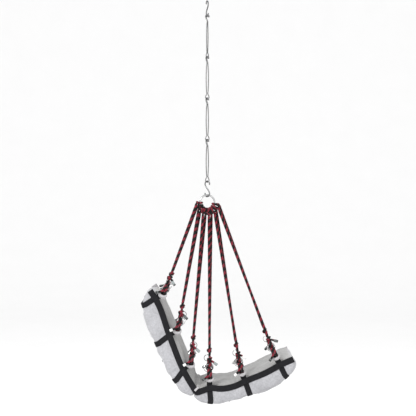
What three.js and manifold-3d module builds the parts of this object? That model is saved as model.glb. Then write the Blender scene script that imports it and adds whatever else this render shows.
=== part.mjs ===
// A hanging swing chair: an L-shaped padded seat and back, slung on six ropes from a ring,
// which hangs on a chain of two S-hooks and four twin-wire extension links.
// Millimetres, +Z up, +X towards the sitter's knees, Y across the chair.
// The origin is the bearing point inside the upper bend of the top S-hook.
import * as THREE from "three";
import { mergeVertices } from "three/addons/utils/BufferGeometryUtils.js";
import Module from "manifold-3d";

const wasm = await Module();
wasm.setup();

// Driving dimensions.
const GAP = 0.3;
const S_HOOK = { height: 86, wire: 6.5, bend: 14, topYaw: 250, lowYaw: -35 };
const LINK = { pitch: 211.5, wire: 5, hook: 9, eye: 11, spread: 4.5, pinch: 2.8, seat: 2.4 };
// Heights on a link: three below its hook's centre, then two above its eye's centre.
const LINK_NECK = { throat: 12, pinched: 22, shoulder: 40, splay: 26, close: 17 };
const LINK_YAWS = [-32, -55, -55, -55];
const RING = { radius: 40, wire: 9, yaw: 20 };
const ROPE = { diameter: 14, tail: 13, knot: 14.5 };
const SPLIT_RING = { radius: 18.5, wire: 3 };
// The neck of a felt loop stops short of the loop's centre by `neck`.
const LOOP = { halfWidth: 21, halfHeight: 17, band: 5, depth: 26, neck: 16.5 };
const LOOP_STAND_OFF = { back: 26, seat: 33 };
const WEB = { width: 30, crossWidth: 26, thick: 3, slack: 2.5 };
const COVER = { halfWidth: 245, cloth: 3 };
const FOAM_ROOM = { back: 9.8, seat: 5.5 };
const ZIP = { slot: 9, length: 420, tape: 1.6, sunk: 1.5, slider: 14, sliderThick: 4, proud: 2.2 };

// Heights along one rope leg, counted from the centre of its felt loop.
const LEG = { hole: 4.2, splitRing: 52, eye: 61.2, knot: 91 };

// One turn of a lashing (across, up): its foot, the shoulders beside the split ring and its crown.
const LASHING = { half: 7.2, foot: [21, 16], low: [10.2, 35.6], high: [7.4, 42.8], crown: 45.7 };

// The back panel: its crease, its lean from the vertical and its outline (along, behind the face).
const BACK = { crease: [-58, -1950], lean: 21.8 };
const BACK_TOP = [[494, 0], [514, -9], [528, -34], [518, -66], [487, -92.5]];
const BACK_REAR = [[390, -101], [283, -102], [180, -99], [83, -87.5], [22, -68], [-11, -46]];
const BACK_FOOT = [[-72.5, -1986], [-52.5, -1950]];

// The seat panel in X and Z: upper face, front end, underside and the end that meets the back.
const SEAT_UPPER = [[-51, -1939], [10, -1925], [75, -1927], [130, -1917], [190, -1890], [280, -1852],
  [350, -1814], [394, -1792]];
const SEAT_FRONT = [[406, -1788], [424, -1796], [434, -1815], [429, -1845], [411, -1876]];
const SEAT_UNDER = [[380, -1906], [345, -1926], [300, -1946], [207, -1980], [100, -2011], [15, -2020], [-28, -2011],
  [-52, -1998]];
const SEAT_HEEL = [[-71.7, -1986.4], [-51.7, -1950.4]];

// The side strap's middle line: down the back, then along the seat.
const STRAP_DOWN = [[-284, -1456], [-257, -1496], [-183, -1688], [-113.5, -1859], [-52, -1963]];
const STRAP_ALONG = [[15, -1937], [72, -1942], [131, -1931], [195, -1902], [287, -1864], [366, -1822],
  [428, -1795]];

// Each cross strap: where it meets the sitter's face, where it meets the outer face.
const STRAPS = [
  { name: "back_upper", panel: "back", inner: [497, 0], outer: [485, -93.5] },
  { name: "back_middle", panel: "back", inner: [305, 0], outer: [281, -102] },
  { name: "back_lower", panel: "back", inner: [126, 0], outer: [78, -86.5] },
  { name: "seat_rear", panel: "seat", inner: [11, -1925], outer: [14, -2020] },
  { name: "seat_middle", panel: "seat", inner: [182, -1893.5], outer: [212, -1978] },
  { name: "seat_front", panel: "seat", inner: [352, -1814], outer: [398, -1892] },
];
const HITCH = { step: 30, middle: 265 };

// Where the zips run: a back point behind the face, and a point in X and Z under the seat.
const BACK_ZIP = [190, -99.5];
const SEAT_ZIP = [110, -2008.5];

const rad = THREE.MathUtils.degToRad;
const vec = (x, y, z) => new THREE.Vector3(x, y, z);
const material = (color, roughness, metalness) =>
  new THREE.MeshStandardMaterial({ color, roughness, metalness });
const MATERIALS = {
  steel: material(0x8d9093, 0.38, 1),
  nickel: material(0xd5d6d8, 0.18, 1),
  rope: material(0x5a1018, 0.85, 0),
  webbing: material(0x17171a, 0.9, 0),
  felt: material(0xb4b4b6, 0.95, 0),
  foam: material(0xd8cfa8, 0.9, 0),
  zip: material(0x2a2a2e, 0.6, 0),
};

const chair = new THREE.Group();

function add(name, geometry, look) {
  const mesh = new THREE.Mesh(geometry, MATERIALS[look]);
  mesh.name = name;
  chair.add(mesh);
}

// Manifold solids from geometries, and back.
function solid(geometry) {
  const bare = geometry.clone();
  bare.deleteAttribute("normal");
  bare.deleteAttribute("uv");
  const merged = mergeVertices(bare, 1e-4);
  return new wasm.Manifold(new wasm.Mesh({
    numProp: 3,
    vertProperties: merged.attributes.position.array,
    triVerts: new Uint32Array(merged.index.array),
  }));
}

function geometryOf(body) {
  const mesh = body.getMesh();
  const geometry = new THREE.BufferGeometry();
  geometry.setAttribute("position", new THREE.BufferAttribute(mesh.vertProperties, 3));
  geometry.setIndex(new THREE.BufferAttribute(mesh.triVerts, 1));
  geometry.computeVertexNormals();
  return geometry;
}

const joined = (geometries) => geometryOf(geometries.map(solid).reduce((a, b) => a.add(b)));

// A route whose rings fall on its control points, dense where they are dense.
class Route extends THREE.CatmullRomCurve3 {
  getPointAt(u, target) {
    return this.getPoint(u, target);
  }

  getTangentAt(u, target) {
    return this.getTangent(u, target);
  }
}

function disc(radius, sides) {
  const corners = [];
  for (let i = 0; i < sides; i += 1) {
    const turn = (2 * Math.PI * i) / sides;
    corners.push(new THREE.Vector2(radius * Math.cos(turn), radius * Math.sin(turn)));
  }
  return new THREE.Shape(corners);
}

function tube(points, diameter, sides = 6) {
  const options = { steps: points.length - 1, bevelEnabled: false, extrudePath: new Route(points) };
  return new THREE.ExtrudeGeometry(disc(diameter / 2, sides), options);
}

// Points of an arc in a plane, angles in degrees.
function arc(x, z, radius, from, to, count) {
  const points = [];
  for (let i = 0; i <= count; i += 1) {
    const turn = rad(from + ((to - from) * i) / count);
    points.push([x + radius * Math.cos(turn), z + radius * Math.sin(turn)]);
  }
  return points;
}

const upright = (points, yaw) =>
  points.map(([p, z]) => vec(p * Math.cos(rad(yaw)), p * Math.sin(rad(yaw)), z));

// An S-hook whose upper bend bears at height z, in a vertical plane turned by yaw.
function sHook(z, yaw) {
  const high = z + S_HOOK.wire / 2 - S_HOOK.bend;
  const low = high - (S_HOOK.height - S_HOOK.wire - 2 * S_HOOK.bend);
  const upper = arc(0, high, S_HOOK.bend, -25, 200, 9);
  const lower = arc(0, low, S_HOOK.bend, 20, -205, 9);
  return tube(upright([...upper, ...lower], yaw), S_HOOK.wire, 8);
}

// A link of one wire bent double: hook over z at the top, eye one pitch lower.
function link(apex, yaw) {
  const centre = apex - LINK.hook;
  const hook = arc(0, centre, LINK.hook, -30, 205, 7).map(([f, z]) => [LINK.pinch, f, z]);
  const throat = [LINK.pinch, -LINK.wire, centre - LINK_NECK.throat];
  const pinched = [LINK.pinch, 0, centre - LINK_NECK.pinched];
  const foot = apex - LINK.pitch - LINK.wire - LINK.seat + LINK.eye;
  const shoulder = [LINK.spread, 0, centre - LINK_NECK.shoulder];
  const splay = [LINK.spread, 0, foot + LINK_NECK.splay];
  const close = [LINK.pinch + 1, 0, foot + LINK_NECK.close];
  const eye = arc(0, foot, LINK.eye, 30, -90, 4).map(([e, z]) => [e, 0, z]);
  const half = [...hook, throat, pinched, shoulder, splay, close, ...eye];
  const mirror = half.slice(0, -1).reverse().map(([e, f, z]) => [-e, f, z]);
  const turned = [...half, ...mirror].map(([e, f, z]) => vec(e, f, z));
  const about = rad(yaw - 90);
  return tube(turned.map((p) => p.applyAxisAngle(vec(0, 0, 1), about)), LINK.wire, 6);
}

// The chain, from the top down.
const topHookFoot = S_HOOK.wire - S_HOOK.height + S_HOOK.wire;
add("top_s_hook", sHook(0, S_HOOK.topYaw), "steel");
let apex = topHookFoot + LINK.wire / 2 + LINK.seat;
LINK_YAWS.forEach((yaw, i) => {
  add(`extension_link_${i + 1}`, link(apex, yaw), "steel");
  apex -= LINK.pitch;
});
const lowHookBearing = apex - LINK.wire / 2 - LINK.seat + GAP;
add("lower_s_hook", sHook(lowHookBearing, S_HOOK.lowYaw), "steel");
const ringTop = lowHookBearing + 2 * S_HOOK.wire - S_HOOK.height + 2 * GAP + RING.wire / 2;
const ringCentre = vec(0, 0, ringTop - RING.radius);
const ringAcross = vec(Math.cos(rad(RING.yaw)), Math.sin(rad(RING.yaw)), 0);
const ringNormal = vec(-Math.sin(rad(RING.yaw)), Math.cos(rad(RING.yaw)), 0);
const ringShape = new THREE.TorusGeometry(RING.radius, RING.wire / 2, 8, 30);
ringShape.rotateX(Math.PI / 2).rotateZ(rad(RING.yaw));
ringShape.translate(ringCentre.x, ringCentre.y, ringCentre.z);
add("main_ring", ringShape, "nickel");

// Panel outlines. A back point is (along the face, in front of the face).
const up = [-Math.sin(rad(BACK.lean)), Math.cos(rad(BACK.lean))];
const out = [Math.cos(rad(BACK.lean)), Math.sin(rad(BACK.lean))];
const onBack = ([s, t]) => [
  BACK.crease[0] + s * up[0] + t * out[0],
  BACK.crease[1] + s * up[1] + t * out[1],
];

function smooth(points, perSpan) {
  const curve = new THREE.SplineCurve(points.map(([x, z]) => new THREE.Vector2(x, z)));
  return curve.getPoints((points.length - 1) * perSpan).map((p) => [p.x, p.y]);
}

const backOutline = [
  ...smooth(BACK_TOP.map(onBack), 2),
  ...smooth(BACK_REAR.map(onBack), 2),
  ...BACK_FOOT,
];
const seatOutline = [
  ...smooth(SEAT_UPPER, 2),
  ...smooth(SEAT_FRONT, 2),
  ...smooth(SEAT_UNDER, 2),
  ...SEAT_HEEL,
].reverse();

// An outline moved inwards by a distance; outlines run counter-clockwise in X and Z.
function inset(outline, distance) {
  const count = outline.length;
  return outline.map(([x, z], i) => {
    const [ax, az] = outline[(i + count - 1) % count];
    const [bx, bz] = outline[(i + 1) % count];
    const length = Math.hypot(bx - ax, bz - az);
    return [x - (distance * (bz - az)) / length, z + (distance * (bx - ax)) / length];
  });
}

// A prism of an outline in X and Z, from y = low to y = high.
function prism(outline, low, high) {
  const shape = new THREE.Shape(outline.map(([x, z]) => new THREE.Vector2(x, -z)).reverse());
  const slab = new THREE.ExtrudeGeometry(shape, { depth: high - low, bevelEnabled: false });
  return slab.rotateX(-Math.PI / 2).translate(0, low, 0);
}

// A box on a face: centred at a point in X and Z, turned so its height runs along the normal.
function plate(point, normal, along, across, thick) {
  const box = new THREE.BoxGeometry(along, across, thick);
  const tilt = Math.atan2(normal[0], normal[1]);
  return box.rotateY(tilt).translate(point[0], 0, point[1]);
}

// A cover, its foam core, its zip and slider.
function panel(name, outline, zipPlace) {
  const { point: zipPoint, normal: zipNormal } = onOutline(outline, zipPlace);
  const inner = inset(outline, COVER.cloth);
  const side = COVER.halfWidth;
  const cloth = COVER.cloth;
  const slot = plate(zipPoint, zipNormal, ZIP.slot, ZIP.length, 6 * cloth);
  const shell = solid(prism(outline, -side, side))
    .subtract(solid(prism(inner, cloth - side, side - cloth)))
    .subtract(solid(slot));
  add(`${name}_cover`, geometryOf(shell), "felt");
  const room = FOAM_ROOM[name];
  add(`${name}_foam`, prism(inset(outline, room), room - side, side - room), "foam");
  const at = (depth) => [zipPoint[0] - depth * zipNormal[0], zipPoint[1] - depth * zipNormal[1]];
  const tape = plate(at(ZIP.sunk), zipNormal, ZIP.slot - 1, ZIP.length - 1, ZIP.tape);
  add(`${name}_zip`, tape, "zip");
  const slider = plate(at(-ZIP.proud), zipNormal, ZIP.slot - 2, ZIP.slider, ZIP.sliderThick);
  slider.translate(0, ZIP.slider - ZIP.length / 2, 0);
  add(`${name}_zip_slider`, slider, "nickel");
}

panel("back", backOutline, onBack(BACK_ZIP));
panel("seat", seatOutline, SEAT_ZIP);

// Side straps: a band of webbing flat on each side, outside the cross straps.
function band(points, width) {
  const edge = (sign) => points.map(([x, z], i) => {
    const [ax, az] = points[Math.max(i - 1, 0)];
    const [bx, bz] = points[Math.min(i + 1, points.length - 1)];
    const length = Math.hypot(bx - ax, bz - az);
    const half = (sign * width) / 2;
    return [x - (half * (bz - az)) / length, z + (half * (bx - ax)) / length];
  });
  return [...edge(-1), ...edge(1).reverse()];
}

const strapLine = [...smooth(STRAP_DOWN, 2), ...smooth(STRAP_ALONG, 2)];
const strapLow = COVER.halfWidth + 2 * GAP + WEB.thick;
["right", "left"].forEach((side, i) => {
  const low = i ? strapLow : -strapLow - WEB.thick;
  add(`side_strap_${side}`, prism(band(strapLine, WEB.width), low, low + WEB.thick), "webbing");
});

// The local frame of a rope leg: w across it, v through its loop, u up it towards the ring.
function legFrame(foot, head) {
  const u = head.clone().sub(foot).normalize();
  const v = vec(0, 1, 0).addScaledVector(u, -u.y).normalize();
  const w = v.clone().cross(u);
  return new THREE.Matrix4().makeBasis(w, v, u).setPosition(foot);
}

const place = (points, frame) => points.map(([w, v, u]) => vec(w, v, u).applyMatrix4(frame));

// A straight stub from a point in the leg's frame, falling at an angle below a (w, v) direction.
function stub(start, [w, v], fall, length, frame) {
  const level = length * Math.cos(rad(fall));
  const end = [start[0] + level * w, start[1] + level * v, start[2] - length * Math.sin(rad(fall))];
  return tube(place([start, end], frame), ROPE.tail, 6);
}

// A felt sleeved webbing loop: an elliptical ring around the v axis.
function feltLoop(frame) {
  const oval = (a, b) => new THREE.Path(new THREE.EllipseCurve(0, 0, a, b).getPoints(14).slice(1));
  const shape = new THREE.Shape(oval(LOOP.halfWidth, LOOP.halfHeight).getPoints());
  shape.holes.push(oval(LOOP.halfWidth - LOOP.band, LOOP.halfHeight - LOOP.band));
  const ring = new THREE.ExtrudeGeometry(shape, { depth: LOOP.depth, bevelEnabled: false });
  return ring.rotateX(Math.PI / 2).translate(0, LOOP.depth / 2, 0).applyMatrix4(frame);
}

// The rope's turn over the ring wire, from the front (low angles) to the rear.
function hitch(index) {
  const turn = rad(HITCH.middle + (index - 2.5) * HITCH.step);
  const radial = ringAcross.clone().multiplyScalar(Math.cos(turn)).add(vec(0, 0, Math.sin(turn)));
  const middle = ringCentre.clone().addScaledVector(radial, RING.radius);
  const reach = (RING.wire + ROPE.diameter) / 2 + 2 * GAP;
  return [-25, 10, 50, 90, 130, 170, 205].map((angle) => {
    const point = middle.clone().addScaledVector(ringNormal, -reach * Math.cos(rad(angle)));
    return point.addScaledVector(radial, -reach * Math.sin(rad(angle)));
  });
}

// The eye, knot and tail at the foot of a rope leg; the left tails point away from the seat.
function ropeFoot(frame, index) {
  const ring = LEG.splitRing + SPLIT_RING.radius;
  const bend = ring - LEG.eye;
  const eye = arc(0, ring, bend, 180, 360, 4).map(([v, u]) => [0, v, u]);
  const route = [[0, -3, LEG.knot - 2], ...eye, [0, 3, LEG.knot - 2]];
  const knot = new THREE.SphereGeometry(ROPE.knot, 7, 5);
  knot.translate(0, 0, LEG.knot).applyMatrix4(frame);
  const tail = stub([0, 0, LEG.knot], index ? [0, 1] : [1, 0], 35, 40, frame);
  return [tube(place(route, frame), ROPE.diameter), knot, tail];
}

// Two turns of rope between the split ring and the felt loop, with a tail on the outer side (-1 or 1).
function lashing(frame, outside) {
  const { half, foot, low, high, crown } = LASHING;
  const side = [foot, low, high];
  const turn = (w) => [
    ...side.map(([v, u]) => [w, v, u]),
    [w, 0, crown],
    ...side.toReversed().map(([v, u]) => [w, -v, u]),
  ];
  const through = [[-6.4, -20.4, 6.4], [-3, -12, LEG.hole], [3, 12, LEG.hole], [6.4, 20.4, 6.4]];
  const start = [-half, foot[0], 3];
  const end = [half, -foot[0], 3];
  const route = [start, ...turn(-half), ...through, ...turn(half), end];
  const sided = route.map(([w, v, u]) => [w, v * outside, u]);
  const tail = stub([2 - half, foot[0] * outside, LEG.hole], [-1, 0], 30, 36, frame);
  return joined([tube(place(sided, frame), ROPE.diameter), tail]);
}

function splitRing(frame) {
  const ring = new THREE.TorusGeometry(SPLIT_RING.radius, SPLIT_RING.wire / 2, 5, 12);
  return ring.rotateX(Math.PI / 2).translate(0, 0, LEG.splitRing).applyMatrix4(frame);
}

// A cross strap: a plate up each side, a bar across the outer face and a loop at each end.
function crossStrap(name, inner, faceNormal, neck, wrap, frames) {
  const top = [inner[0] + neck * faceNormal[0], inner[1] + neck * faceNormal[1]];
  const lift = WEB.thick / 2 + WEB.slack;
  const foot = [wrap.point[0] + lift * wrap.normal[0], wrap.point[1] + lift * wrap.normal[1]];
  const low = COVER.halfWidth + GAP;
  const sides = [-low - WEB.thick, low].map((y) =>
    prism(band([top, foot], WEB.crossWidth), y, y + WEB.thick));
  const bar = plate(foot, wrap.normal, WEB.crossWidth, 2 * (low + WEB.thick), WEB.thick);
  add(`cross_strap_${name}`, joined([...sides, bar, ...frames.map(feltLoop)]), "webbing");
}

// The place on an outline nearest a point, with the outline's normal there, facing out.
function onOutline(outline, [x, z]) {
  let best = { distance: Infinity };
  outline.forEach(([ax, az], i) => {
    const [bx, bz] = outline[(i + 1) % outline.length];
    const length = Math.hypot(bx - ax, bz - az);
    const run = ((x - ax) * (bx - ax) + (z - az) * (bz - az)) / length;
    const t = THREE.MathUtils.clamp(run / length, 0, 1);
    const point = [ax + t * (bx - ax), az + t * (bz - az)];
    const distance = Math.hypot(point[0] - x, point[1] - z);
    const normal = [(bz - az) / length, (ax - bx) / length];
    if (distance < best.distance) best = { distance, point, normal };
  });
  return best;
}

STRAPS.forEach((strap, index) => {
  const isBack = strap.panel === "back";
  const outline = isBack ? backOutline : seatOutline;
  const inner = isBack ? onBack(strap.inner) : strap.inner;
  const outer = isBack ? onBack(strap.outer) : strap.outer;
  const wrap = onOutline(outline, outer);
  const faceNormal = isBack ? out : onOutline(outline, inner).normal;
  const turn = hitch(index);
  const frames = [-1, 1].map((side) => {
    const foot = vec(inner[0], side * (COVER.halfWidth + 1), inner[1]);
    foot.add(vec(faceNormal[0], 0, faceNormal[1]).multiplyScalar(LOOP_STAND_OFF[strap.panel]));
    return legFrame(foot, side < 0 ? turn[0] : turn[turn.length - 1]);
  });
  const neck = LOOP_STAND_OFF[strap.panel] - LOOP.neck;
  crossStrap(strap.name, inner, faceNormal, neck, wrap, frames);
  const knots = frames.map((frame) => vec(0, 0, LEG.knot).applyMatrix4(frame));
  const rope = tube([knots[0], ...turn, knots[1]], ROPE.diameter);
  add(`rope_${strap.name}`, joined([rope, ...frames.flatMap(ropeFoot)]), "rope");
  ["right", "left"].forEach((side, i) => {
    add(`split_ring_${strap.name}_${side}`, splitRing(frames[i]), "nickel");
    add(`lashing_${strap.name}_${side}`, lashing(frames[i], i ? 1 : -1), "rope");
  });
});

export default chair;
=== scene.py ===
"""Looks for a hanging padded swing chair: ropes, hooks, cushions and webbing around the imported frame.

Routes are worked out in millimetres, in the frame that the CAD part uses, and become metres in build().
"""

import math

import bmesh
import bpy
import numpy as np
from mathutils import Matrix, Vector, bvhtree, noise


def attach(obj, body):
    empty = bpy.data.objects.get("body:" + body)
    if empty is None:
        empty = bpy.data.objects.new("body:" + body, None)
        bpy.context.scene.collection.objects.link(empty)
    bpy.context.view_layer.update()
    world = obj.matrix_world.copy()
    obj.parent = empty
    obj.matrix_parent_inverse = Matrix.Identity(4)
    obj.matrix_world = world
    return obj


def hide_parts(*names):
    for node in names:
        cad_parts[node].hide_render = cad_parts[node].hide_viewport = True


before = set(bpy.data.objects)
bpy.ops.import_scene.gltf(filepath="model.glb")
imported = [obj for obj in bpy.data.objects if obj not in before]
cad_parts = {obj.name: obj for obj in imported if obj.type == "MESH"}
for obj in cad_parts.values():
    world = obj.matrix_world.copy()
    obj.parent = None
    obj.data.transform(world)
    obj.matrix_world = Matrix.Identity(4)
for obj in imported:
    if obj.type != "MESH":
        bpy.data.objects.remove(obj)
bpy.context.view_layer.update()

MM = 0.001
NAMES = ["back_upper", "back_middle", "back_lower", "seat_rear", "seat_middle", "seat_front"]
SIDES = {"right": -1, "left": 1}

# ---------------------------------------------------------------- camera

CAMERA = {"lens": 118.8, "place": (0.0036, -7.0, -1.0528)}
camera_data = bpy.data.cameras.new("camera")
camera_data.sensor_width = 36
camera_data.lens = CAMERA["lens"]
camera = bpy.data.objects.new("camera", camera_data)
bpy.context.scene.collection.objects.link(camera)
camera.location = CAMERA["place"]
camera.rotation_euler = (math.radians(90), 0, 0)
bpy.context.scene.camera = camera

# ---------------------------------------------------------------- dimensions that the part uses, in mm

GAP = 0.3
S_HOOK = {"height": 86, "wire": 6.5, "bend": 14, "top_yaw": 250, "low_yaw": -35}
LINK = {"pitch": 211.5, "wire": 5, "hook": 9, "eye": 11, "spread": 4.5, "pinch": 2.8, "seat": 2.4}
LINK_NECK = {"throat": 12, "pinched": 22, "shoulder": 40, "splay": 26, "close": 17}
LINK_YAWS = [-32, -55, -55, -55]
RING = {"radius": 40, "wire": 9, "yaw": 20}
ROPE = 14
SPLIT_RING = 18.5
LOOP = {"half_width": 21, "half_height": 17, "depth": 26}
STAND_OFF = {"back": 26, "seat": 33}
HALF_WIDTH = 245
WEB = {"width": 30, "cross": 27, "thick": 2.2}
LEG = {"split_ring": 52, "knot": 91}
HITCH = {"step": 30, "middle": 265}
BACK = {"crease": (-58, -1950), "lean": 21.8}
STRAP_DOWN = [(-284, -1456), (-257, -1496), (-183, -1688), (-113.5, -1859), (-52, -1963)]
STRAP_ALONG = [(15, -1937), (72, -1942), (131, -1931), (195, -1902), (287, -1864), (366, -1822), (428, -1795)]
STRAPS = {
    "back_upper": ((497, 0), (485, -93.5)),
    "back_middle": ((305, 0), (281, -102)),
    "back_lower": ((126, 0), (78, -86.5)),
    "seat_rear": ((11, -1925), (14, -2020)),
    "seat_middle": ((182, -1893.5), (212, -1978)),
    "seat_front": ((352, -1814), (398, -1892)),
}
ZIP = {"back": (190, -99.5), "seat": (110, -2008.5), "length": 420}

LEAN = math.radians(BACK["lean"])
BACK_UP = np.array([-math.sin(LEAN), math.cos(LEAN)])
BACK_OUT = np.array([math.cos(LEAN), math.sin(LEAN)])


def on_back(point):
    """A point (along the back's face, in front of it) as X and Z."""
    return np.array(BACK["crease"]) + point[0] * BACK_UP + point[1] * BACK_OUT


# ---------------------------------------------------------------- making meshes


def build(name, verts, faces, materials, body, slot, uvs=None, picks=None, replaces=(), smooth=True):
    """A piece from vertices in mm.

    uvs has one pair for each corner of each face, picks one material number for each face.
    """
    mesh = bpy.data.meshes.new(name)
    mesh.from_pydata((np.asarray(verts, float) * MM).tolist(), [], [list(f) for f in faces])
    for m in materials:
        mesh.materials.append(m)
    if picks is not None:
        mesh.polygons.foreach_set("material_index", np.asarray(picks, np.int32))
    if uvs is not None:
        layer = mesh.uv_layers.new(name="run")
        layer.data.foreach_set("uv", np.asarray(uvs, np.float32).ravel())
    mesh.polygons.foreach_set("use_smooth", [smooth] * len(mesh.polygons))
    mesh.update()
    piece = bpy.data.objects.new(name, mesh)
    bpy.context.scene.collection.objects.link(piece)
    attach(piece, body)
    if replaces:
        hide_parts(*replaces)
    return piece


def unit(v):
    v = np.asarray(v, float)
    return v / np.linalg.norm(v)


def spline(points, step, spans=16):
    """Even points, about step apart, on a smooth curve through the given points."""
    p = np.array(points, float)
    d = np.linalg.norm(np.diff(p, axis=0), axis=1)
    slope = np.diff(p, axis=0) / d[:, None]
    m = np.vstack([slope[:1], slope[:1], slope[1:]])[: len(p)].copy()
    m[1:-1] = (slope[:-1] * d[1:, None] + slope[1:] * d[:-1, None]) / (d[:-1] + d[1:])[:, None]
    m[-1] = slope[-1]
    t = np.linspace(0, 1, spans, endpoint=False)[:, None]
    fine = [
        (2 * t**3 - 3 * t**2 + 1) * p[i]
        + (t**3 - 2 * t**2 + t) * d[i] * m[i]
        + (3 * t**2 - 2 * t**3) * p[i + 1]
        + (t**3 - t**2) * d[i] * m[i + 1]
        for i in range(len(d))
    ]
    return even(np.vstack([*fine, p[-1:]]), step)


def travelled(points):
    """How far along a polyline each of its points is."""
    return np.concatenate([[0], np.cumsum(np.linalg.norm(np.diff(points, axis=0), axis=1))])


def even(points, step):
    """A polyline's points, spaced evenly about step apart."""
    points = np.asarray(points, float)
    run = travelled(points)
    at = np.linspace(0, run[-1], max(2, round(run[-1] / step) + 1))
    return np.column_stack([np.interp(at, run, points[:, k]) for k in range(points.shape[1])])


def arc(x, z, radius, start, end, count):
    turn = np.radians(np.linspace(start, end, count + 1))
    return np.column_stack([x + radius * np.cos(turn), z + radius * np.sin(turn)])


def moving_frame(path, closed=False):
    """Two directions across a path at each point, carried along it without twist."""
    if closed:
        along = np.roll(path, -1, axis=0) - np.roll(path, 1, axis=0)
    else:
        along = np.gradient(path, axis=0)
    along /= np.linalg.norm(along, axis=1)[:, None]
    side = unit(np.cross(along[0], [0, 0, 1] if abs(along[0][2]) < 0.9 else [0, 1, 0]))
    first = []
    for t in along:
        side = unit(side - t * np.dot(side, t))
        first.append(side)
    first = np.array(first)
    return first, np.cross(along, first)


def grid_faces(rows, around, closed=False):
    """Quads between rows of points that each form a ring; closed joins the last row to the first."""
    r, i = np.meshgrid(np.arange(rows if closed else rows - 1), np.arange(around), indexing="ij")
    here, after, beside = r * around, (r + 1) % rows * around, (i + 1) % around
    return np.stack([here + i, after + i, after + beside, here + beside], axis=-1).reshape(-1, 4)


def sweep(
    name, path, section, materials, body, slot, scale=None, spin=None, closed=False, across=None, **more
):
    """A solid whose section, in mm, follows a path, turned by spin radians and scaled at each point."""
    path = np.asarray(path, float)
    n, k = len(path), len(section)
    a, b = across if across is not None else moving_frame(path, closed)
    scale = np.ones(n) if scale is None else np.asarray(scale, float)
    spin = np.zeros(n) if spin is None else np.asarray(spin, float)
    section = np.asarray(section, float)
    x = section[None, :, 0] * np.cos(spin)[:, None] - section[None, :, 1] * np.sin(spin)[:, None]
    y = section[None, :, 0] * np.sin(spin)[:, None] + section[None, :, 1] * np.cos(spin)[:, None]
    spread = x[..., None] * a[:, None, :] + y[..., None] * b[:, None, :]
    rings = path[:, None, :] + scale[:, None, None] * spread
    faces = grid_faces(n, k, closed)[:, [0, 3, 2, 1]]
    i, j = np.divmod(faces[:, 0], k)
    faces = faces.tolist()
    run = travelled(path)
    if closed:
        run = np.append(run, run[-1] + np.linalg.norm(path[0] - path[-1]))
    uv = np.stack([run[i], j / k, run[i], (j + 1) / k, run[i + 1], (j + 1) / k, run[i + 1], j / k], axis=-1)
    uv = uv.reshape(-1, 2)
    picks = more.pop("picks", None)
    picks = None if picks is None else np.asarray(picks)[j].tolist()
    if not closed:
        faces += [list(range(k))[::-1], list(range((n - 1) * k, n * k))]
        ends = [(run[e], q / k) for e in (0, n - 1) for q in range(k)]
        uv = np.vstack([uv, ends])
        picks = None if picks is None else picks + [0, 0]
    uv = uv * [MM, 1]
    return build(name, rings.reshape(-1, 3), faces, materials, body, slot, uvs=uv, picks=picks, **more)


def disc(radius, sides):
    turn = np.linspace(0, 2 * math.pi, sides, endpoint=False)
    return radius * np.column_stack([np.cos(turn), np.sin(turn)])


def rounded(path, radius, edge):
    """A path with extra rings at both ends, and the scale that rounds a bar of that radius off by edge."""
    path = np.asarray(path, float)
    turn = np.radians([8, 25, 45, 65, 90])
    inward, shrink = edge * (1 - np.cos(turn))[::-1], 1 - edge / radius * (1 - np.sin(turn))
    head, tail = unit(path[1] - path[0]), unit(path[-2] - path[-1])
    body = path[1:-1]
    keep = (np.linalg.norm(body - path[0], axis=1) > 1.3 * edge) & (
        np.linalg.norm(body - path[-1], axis=1) > 1.3 * edge
    )
    start = [path[0] + head * (edge - d) for d in inward]
    end = [path[-1] + tail * (edge - d) for d in inward][::-1]
    scale = np.concatenate([shrink, np.ones(keep.sum()), shrink[::-1]])
    return np.vstack([start, body[keep], end]), scale


def rod(name, path, wire, material, body, slot, sides=16, **more):
    """A round bar along a path, with its cut ends rounded off."""
    path, scale = rounded(path, wire / 2, 0.35 * wire)
    return sweep(name, path, disc(wire / 2, sides), [material], body, slot, scale=scale, **more)


# ---------------------------------------------------------------- materials


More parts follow.
